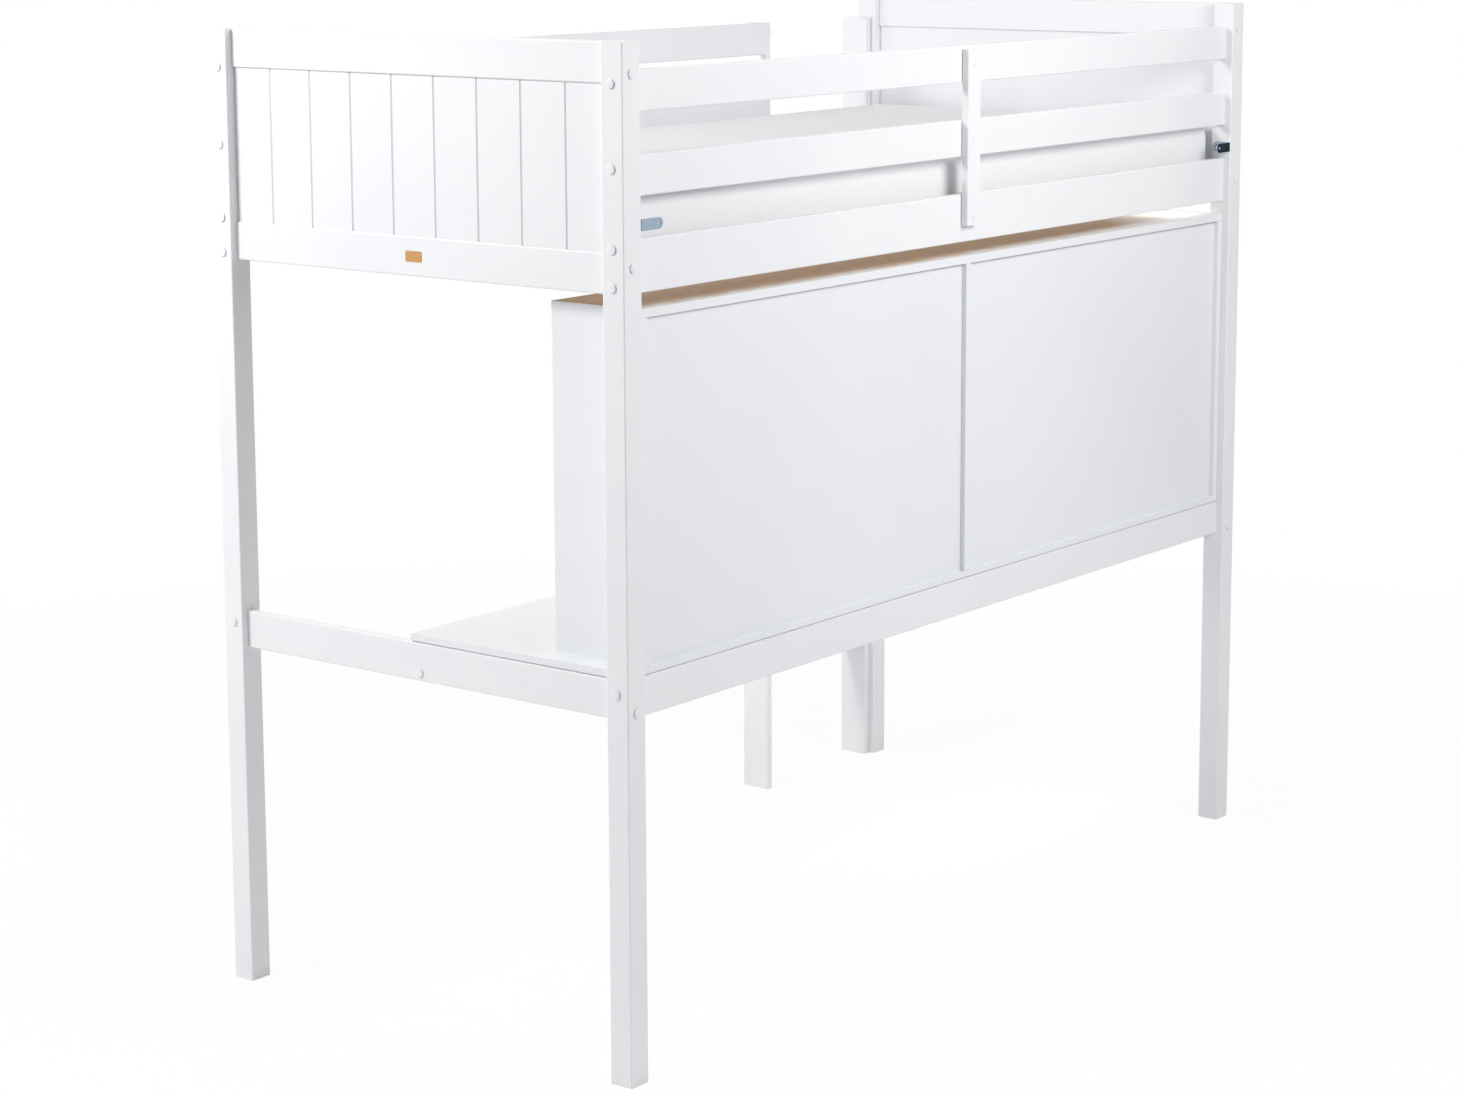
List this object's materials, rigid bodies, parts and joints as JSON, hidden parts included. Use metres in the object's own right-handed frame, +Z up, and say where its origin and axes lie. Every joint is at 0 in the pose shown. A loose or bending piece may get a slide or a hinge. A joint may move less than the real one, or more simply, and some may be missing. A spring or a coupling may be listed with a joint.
{
  "type": "loft bed",
  "caption": "White wooden loft bed with guard rails, plank-panel ends, a front ladder, a slatted base with mattress, and a desk and bookcase underneath.",
  "frame": {"origin": "on the floor, under the middle of the outer box", "axes": "+Z up; X along the bed, with the ladder at the -X end; +Y is the back, which stands at the wall"},
  "size_m": [2.096, 1.017, 1.8],
  "materials": {
    "white_wood": "satin white paint on solid wood",
    "white_board": "smooth white laminated board",
    "raw_board": "white board with a raw brown upper face",
    "pine": "planed pine, no finish",
    "zinc_steel": "zinc plated",
    "white_plastic": "moulded plastic, slightly glossy",
    "tan_plaque": "plain tan, nothing on it",
    "mattress_cover": "white woven cover"
  },
  "bodies": {
    "frame": {"back_desk_rail": "white_wood", "back_guard_batten": "white_wood", "back_lower_guard_rail": "white_wood", "back_side_rail": "white_wood", "back_upper_guard_rail": "white_wood", "barrel_nuts": "zinc_steel", "batten_screws": "zinc_steel", "bed_slats": "pine", "blank_plaque": "tan_plaque", "board_bolts": "zinc_steel", "bolt_caps": "white_plastic", "bookcase_back_ladder_end": "white_board", "bookcase_back_plain_end": "white_board", "bookcase_divider": "white_board", "bookcase_shelf_ladder_end": "white_board", "bookcase_shelf_plain_end": "white_board", "bookcase_side_ladder_end": "white_board", "bookcase_side_plain_end": "white_board", "bookcase_top": "raw_board", "bracket_screws": "zinc_steel", "case_dowels": "pine", "desk_cross_rail_ladder_end": "white_wood", "desk_cross_rail_plain_end": "white_wood", "desk_dowels": "pine", "desk_front_beam": "white_wood", "desktop": "white_board", "end_bottom_rail_ladder_end": "white_wood", "end_bottom_rail_plain_end": "white_wood", "end_panel_ladder_end": "white_wood", "end_panel_plain_end": "white_wood", "end_top_rail_ladder_end": "white_wood", "end_top_rail_plain_end": "white_wood", "front_lower_guard_rail": "white_wood", "front_side_rail": "white_wood", "front_upper_guard_rail": "white_wood", "ladder_stile_guard_side": "white_wood", "ladder_stile_post_side": "white_wood", "ladder_tread_1": "white_wood", "ladder_tread_2": "white_wood", "ladder_tread_3": "white_wood", "ladder_tread_4": "white_wood", "ledge_screws": "zinc_steel", "post_back_ladder_end": "white_wood", "post_back_plain_end": "white_wood", "post_bolts": "zinc_steel", "post_front_ladder_end": "white_wood", "post_front_plain_end": "white_wood", "rail_dowels": "pine", "screw_caps": "white_plastic", "shelf_pins": "zinc_steel", "slat_ledge_back": "white_wood", "slat_ledge_front": "white_wood", "slat_screws": "zinc_steel", "stile_screws": "zinc_steel", "tread_dowels": "pine", "tread_screws": "zinc_steel", "wall_bracket_ladder_end": "zinc_steel", "wall_bracket_plain_end": "zinc_steel"},
    "mattress": {"mattress": "mattress_cover"}
  },
  "joints": [
    {"name": "mattress_lift", "type": "slide", "parent": "frame", "child": "mattress", "axis": [0, 0, 1], "range_m": [0, 0.36]}
  ]
}
